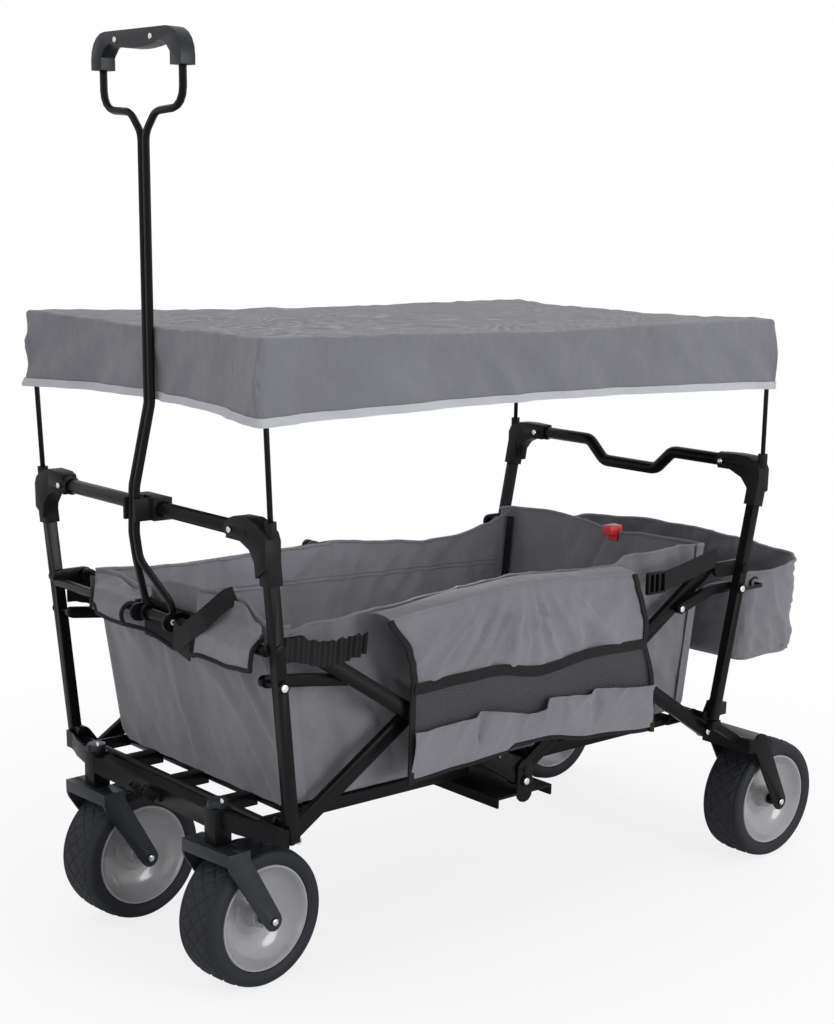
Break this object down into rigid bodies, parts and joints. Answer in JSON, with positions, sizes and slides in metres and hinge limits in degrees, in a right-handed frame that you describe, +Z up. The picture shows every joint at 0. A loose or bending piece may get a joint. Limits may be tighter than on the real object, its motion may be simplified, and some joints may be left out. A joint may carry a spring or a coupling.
{
  "type": "folding wagon",
  "caption": "Collapsible steel-framed cloth wagon with a canopy on poles, a pull handle, swivelling front casters, fixed rear wheels, side pockets and a rear bag.",
  "frame": {"origin": "on the ground under the middle of the wagon's overall length and width", "axes": "+X towards the rear push bar (the pull handle is at -X), +Y towards the far side, +Z up"},
  "size_m": [1.1598, 0.624, 1.252],
  "materials": {
    "frame_black": "satin powder coat, near black",
    "caster_slate": "satin, dark slate",
    "black_plastic": "moulded, fine grain",
    "grip_black": "soft grip",
    "tyre_rubber": "matt charcoal with slanted tread blocks",
    "rim_grey": "glossy light grey",
    "tub_cloth": "woven polyester, mid grey",
    "pocket_cloth": "woven polyester with mesh",
    "canopy_cloth": "woven polyester, mid grey",
    "hem_grey": "light grey binding",
    "mesh_black": "open knitted mesh",
    "webbing_black": "woven webbing",
    "bright_steel": "plated screws",
    "reflector_red": "dark red",
    "latch_red": "red moulding"
  },
  "bodies": {
    "front_frame": {"steering_frame": "frame_black", "stow_clips": "black_plastic", "handle_clip": "black_plastic", "handle_yoke": "frame_black", "front_top_bar": "frame_black", "handle_cross_bar": "frame_black", "front_cross_rail": "frame_black", "tub_front_wall": "tub_cloth", "tub_side_fabric": "tub_cloth", "canopy": "canopy_cloth", "front_post_near": "frame_black", "front_post_far": "frame_black", "front_bracket_near": "black_plastic", "front_bracket_far": "black_plastic", "canopy_pole_front_near": "frame_black", "canopy_pole_front_far": "frame_black", "pocket_panel_near": "pocket_cloth", "pocket_panel_far": "pocket_cloth"},
    "pull_handle": {"handle_grip": "grip_black", "handle_tube_near": "frame_black", "handle_tube_far": "frame_black"},
    "caster_near": {"caster_fork_near": "caster_slate"},
    "caster_far": {"caster_fork_far": "caster_slate"},
    "front_wheel_near": {"front_rim_near": "rim_grey", "front_tyre_near": "tyre_rubber"},
    "front_wheel_far": {"front_rim_far": "rim_grey", "front_tyre_far": "tyre_rubber"},
    "bars_b": {"bar_b_near": "frame_black", "bar_b_far": "frame_black"},
    "bars_a": {"bar_a_near": "frame_black", "bar_a_far": "frame_black"},
    "bars_d": {"bar_d_near": "frame_black", "bar_d_far": "frame_black"},
    "bars_c": {"bar_c_near": "frame_black", "bar_c_far": "frame_black"},
    "centre_plate": {"centre_cross_plate": "frame_black"},
    "levers_front": {"front_lever_near": "frame_black", "front_lever_far": "frame_black"},
    "levers_rear": {"rear_lever_near": "frame_black", "rear_lever_far": "frame_black"},
    "floor_front_half": {"floor_front": "frame_black"},
    "floor_rear_half": {"floor_rear": "frame_black"},
    "rear_frame": {"push_bar": "frame_black", "rear_cross_rail": "frame_black", "tub_rear_wall": "tub_cloth", "rear_bag": "tub_cloth", "latch_buckle": "latch_red", "rear_post_near": "frame_black", "rear_post_far": "frame_black", "rear_bracket_near": "black_plastic", "rear_bracket_far": "black_plastic", "canopy_pole_rear_near": "frame_black", "canopy_pole_rear_far": "frame_black", "rear_fork_near": "frame_black", "rear_fork_far": "frame_black"},
    "rear_wheel_near": {"rear_rim_near": "rim_grey", "rear_tyre_near": "tyre_rubber"},
    "rear_wheel_far": {"rear_rim_far": "rim_grey", "rear_tyre_far": "tyre_rubber"}
  },
  "joints": [
    {"name": "handle_swing", "type": "hinge", "parent": "front_frame", "child": "pull_handle", "pos_m": [-0.52707, -0.015, 0.499], "axis": [0, -1, 0], "range_deg": [0, 110]},
    {"name": "fold", "type": "hinge", "parent": "front_frame", "child": "bars_b", "pos_m": [-0.48107, 0, 0.238], "axis": [0, -1, 0], "range_deg": [0, 45], "deforming": ["tub_side_fabric", "pocket_panel_near", "pocket_panel_far", "canopy"]},
    {"name": "cross_front", "type": "hinge", "parent": "bars_b", "child": "bars_a", "pos_m": [-0.27707, 0, 0.371], "axis": [0, -1, 0], "range_deg": [-90, 0]},
    {"name": "centre_low", "type": "hinge", "parent": "bars_a", "child": "bars_d", "pos_m": [-0.07307, 0, 0.238], "axis": [0, -1, 0], "range_deg": [0, 90]},
    {"name": "cross_rear", "type": "hinge", "parent": "bars_d", "child": "bars_c", "pos_m": [0.13093, 0, 0.371], "axis": [0, -1, 0], "range_deg": [-90, 0]},
    {"name": "rear_low", "type": "hinge", "parent": "bars_c", "child": "rear_frame", "pos_m": [0.33493, 0, 0.238], "axis": [0, -1, 0], "range_deg": [0, 45]},
    {"name": "centre_plate_hang", "type": "hinge", "parent": "bars_a", "child": "centre_plate", "pos_m": [-0.07307, 0, 0.238], "axis": [0, -1, 0], "range_deg": [0, 45]},
    {"name": "front_lever_turn", "type": "hinge", "parent": "front_frame", "child": "levers_front", "pos_m": [-0.51749, 0, 0.455], "axis": [0, -1, 0], "range_deg": [0, 79]},
    {"name": "rear_lever_turn", "type": "hinge", "parent": "rear_frame", "child": "levers_rear", "pos_m": [0.3725, 0, 0.472], "axis": [0, -1, 0], "range_deg": [-79, 0]},
    {"name": "floor_front_lift", "type": "hinge", "parent": "front_frame", "child": "floor_front_half", "pos_m": [-0.43907, 0, 0.2527], "axis": [0, -1, 0], "range_deg": [0, 90]},
    {"name": "floor_rear_lift", "type": "hinge", "parent": "rear_frame", "child": "floor_rear_half", "pos_m": [0.29293, 0, 0.2527], "axis": [0, -1, 0], "range_deg": [-90, 0]},
    {"name": "caster_near_swivel", "type": "hinge", "parent": "front_frame", "child": "caster_near", "pos_m": [-0.53307, -0.157, 0.24], "axis": [0, 0, 1], "continuous": true},
    {"name": "caster_far_swivel", "type": "hinge", "parent": "front_frame", "child": "caster_far", "pos_m": [-0.53307, 0.157, 0.24], "axis": [0, 0, 1], "continuous": true},
    {"name": "front_wheel_near_spin", "type": "hinge", "parent": "caster_near", "child": "front_wheel_near", "pos_m": [-0.47834, -0.15154, 0.1], "axis": [-0.0993, 0.9951, 0], "continuous": true},
    {"name": "front_wheel_far_spin", "type": "hinge", "parent": "caster_far", "child": "front_wheel_far", "pos_m": [-0.47817, 0.16026, 0.1], "axis": [-0.0593, 0.9982, 0], "continuous": true},
    {"name": "rear_wheel_near_spin", "type": "hinge", "parent": "rear_frame", "child": "rear_wheel_near", "pos_m": [0.47993, -0.26, 0.1], "axis": [0, 1, 0], "continuous": true},
    {"name": "rear_wheel_far_spin", "type": "hinge", "parent": "rear_frame", "child": "rear_wheel_far", "pos_m": [0.47993, 0.26, 0.1], "axis": [0, 1, 0], "continuous": true}
  ],
  "couplings": [
    {"joint": "cross_front", "follows": "fold", "ratio": -2},
    {"joint": "centre_low", "follows": "fold", "ratio": 2},
    {"joint": "cross_rear", "follows": "fold", "ratio": -2},
    {"joint": "rear_low", "follows": "fold", "ratio": 1},
    {"joint": "centre_plate_hang", "follows": "fold", "ratio": 1},
    {"joint": "front_lever_turn", "follows": "fold", "ratio": 1.75},
    {"joint": "rear_lever_turn", "follows": "fold", "ratio": -1.75},
    {"joint": "floor_front_lift", "follows": "fold", "ratio": 2},
    {"joint": "floor_rear_lift", "follows": "fold", "ratio": -2}
  ]
}
